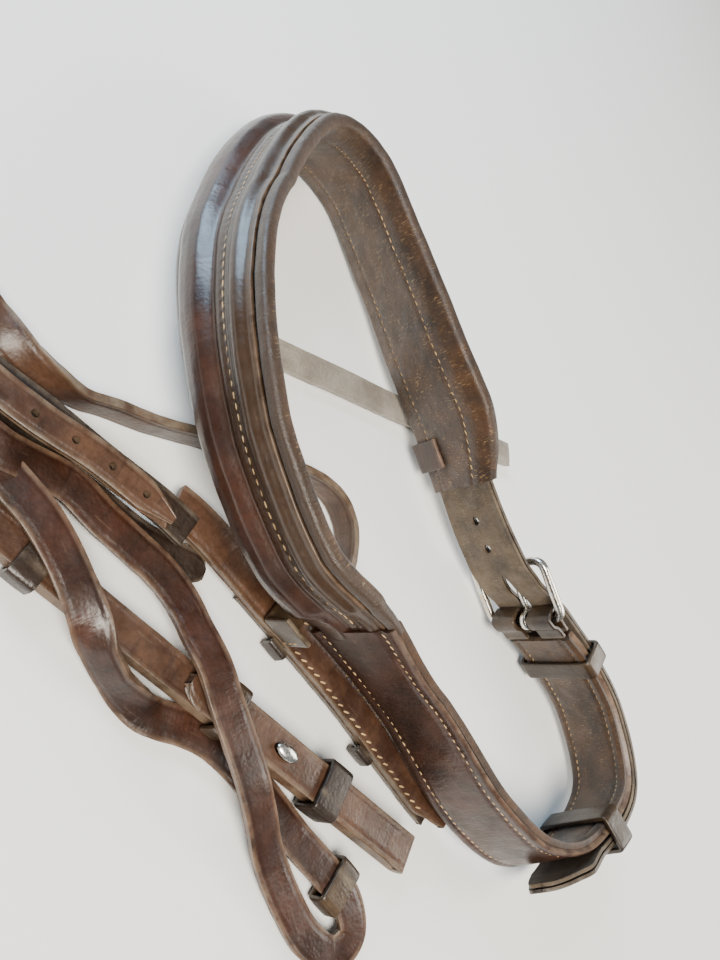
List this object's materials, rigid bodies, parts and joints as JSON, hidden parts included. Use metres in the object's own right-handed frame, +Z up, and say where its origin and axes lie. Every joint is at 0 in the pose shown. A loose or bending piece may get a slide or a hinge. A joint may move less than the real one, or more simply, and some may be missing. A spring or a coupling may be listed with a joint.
{
  "type": "leather headcollar",
  "caption": "Padded leather noseband with a square buckle, its sliphead, and the billets, cheekpieces and throat strap of the bridle headpiece it lies with.",
  "frame": {"origin": "middle of the footprint, on the table the part lies on", "axes": "+Z up from the table, +X along the noseband from its arch towards the chin end, +Y towards the off side"},
  "size_m": [0.319, 0.2286, 0.0469],
  "materials": {
    "leather_havana": "polished dark brown grain",
    "leather_oak": "worn tan-brown grain",
    "leather_dark": "near-black brown grain",
    "leather_lining": "soft matt lining leather",
    "leather_olive": "greyish olive flesh side",
    "padding": "felt padding, enclosed",
    "buckle_metal": "bright plated, slightly tarnished"
  },
  "bodies": {
    "bridle": {"nose_panel": "leather_havana", "nose_padding": "padding", "nose_lining": "leather_lining", "near_hanger": "leather_olive", "off_hanger": "leather_olive", "chin_strap": "leather_havana", "chin_lining": "leather_lining", "billet": "leather_dark", "billet_lining": "leather_lining", "buckle_chape": "leather_olive", "buckle_keeper": "leather_olive", "sliphead_near": "leather_oak", "sliphead_off": "leather_olive", "near_cheek_strap": "leather_havana", "near_cheek_backing": "leather_dark", "near_cheek_upper_loop": "leather_dark", "near_cheek_lower_loop": "leather_dark", "near_billet": "leather_oak", "long_billet": "leather_dark", "off_billet": "leather_dark", "throat_strap": "leather_havana", "crown_lining": "leather_lining", "crown_strap": "leather_havana", "off_cheek_strap": "leather_olive", "hook_stud": "buckle_metal", "off_cheek_keeper": "leather_olive"},
    "buckle": {"buckle_frame": "buckle_metal"},
    "tongue": {"buckle_tongue": "buckle_metal"},
    "chin_loop": {"chin_runner": "leather_olive"},
    "cheek_loop": {"off_cheek_runner": "leather_dark"},
    "cheek_upper_loop": {"off_cheek_upper_runner": "leather_dark"},
    "throat_loop": {"throat_runner": "leather_olive"}
  },
  "joints": [
    {"name": "buckle_swing", "type": "hinge", "parent": "bridle", "child": "buckle", "pos_m": [0.0773, 0.07118, 0.01697], "axis": [-0.0486, 0.0296, -0.9984], "range_deg": [0, 12]},
    {"name": "tongue_lift", "type": "hinge", "parent": "buckle", "child": "tongue", "pos_m": [0.0773, 0.07118, 0.01697], "axis": [-0.0486, 0.0296, -0.9984], "range_deg": [0, 15]},
    {"name": "chin_loop_slide", "type": "slide", "parent": "bridle", "child": "chin_loop", "axis": [-0.0626, 0.998, -0.0024], "range_m": [-0.0035, 0.0035]},
    {"name": "cheek_loop_slide", "type": "slide", "parent": "bridle", "child": "cheek_loop", "axis": [0.8339, 0.5519, 0], "range_m": [0, 0.022]},
    {"name": "cheek_upper_loop_slide", "type": "slide", "parent": "bridle", "child": "cheek_upper_loop", "axis": [0.8339, 0.5519, 0], "range_m": [-0.005, 0.005]},
    {"name": "throat_loop_slide", "type": "slide", "parent": "bridle", "child": "throat_loop", "axis": [-0.9209, -0.3898, 0], "range_m": [0, 0.005]}
  ]
}
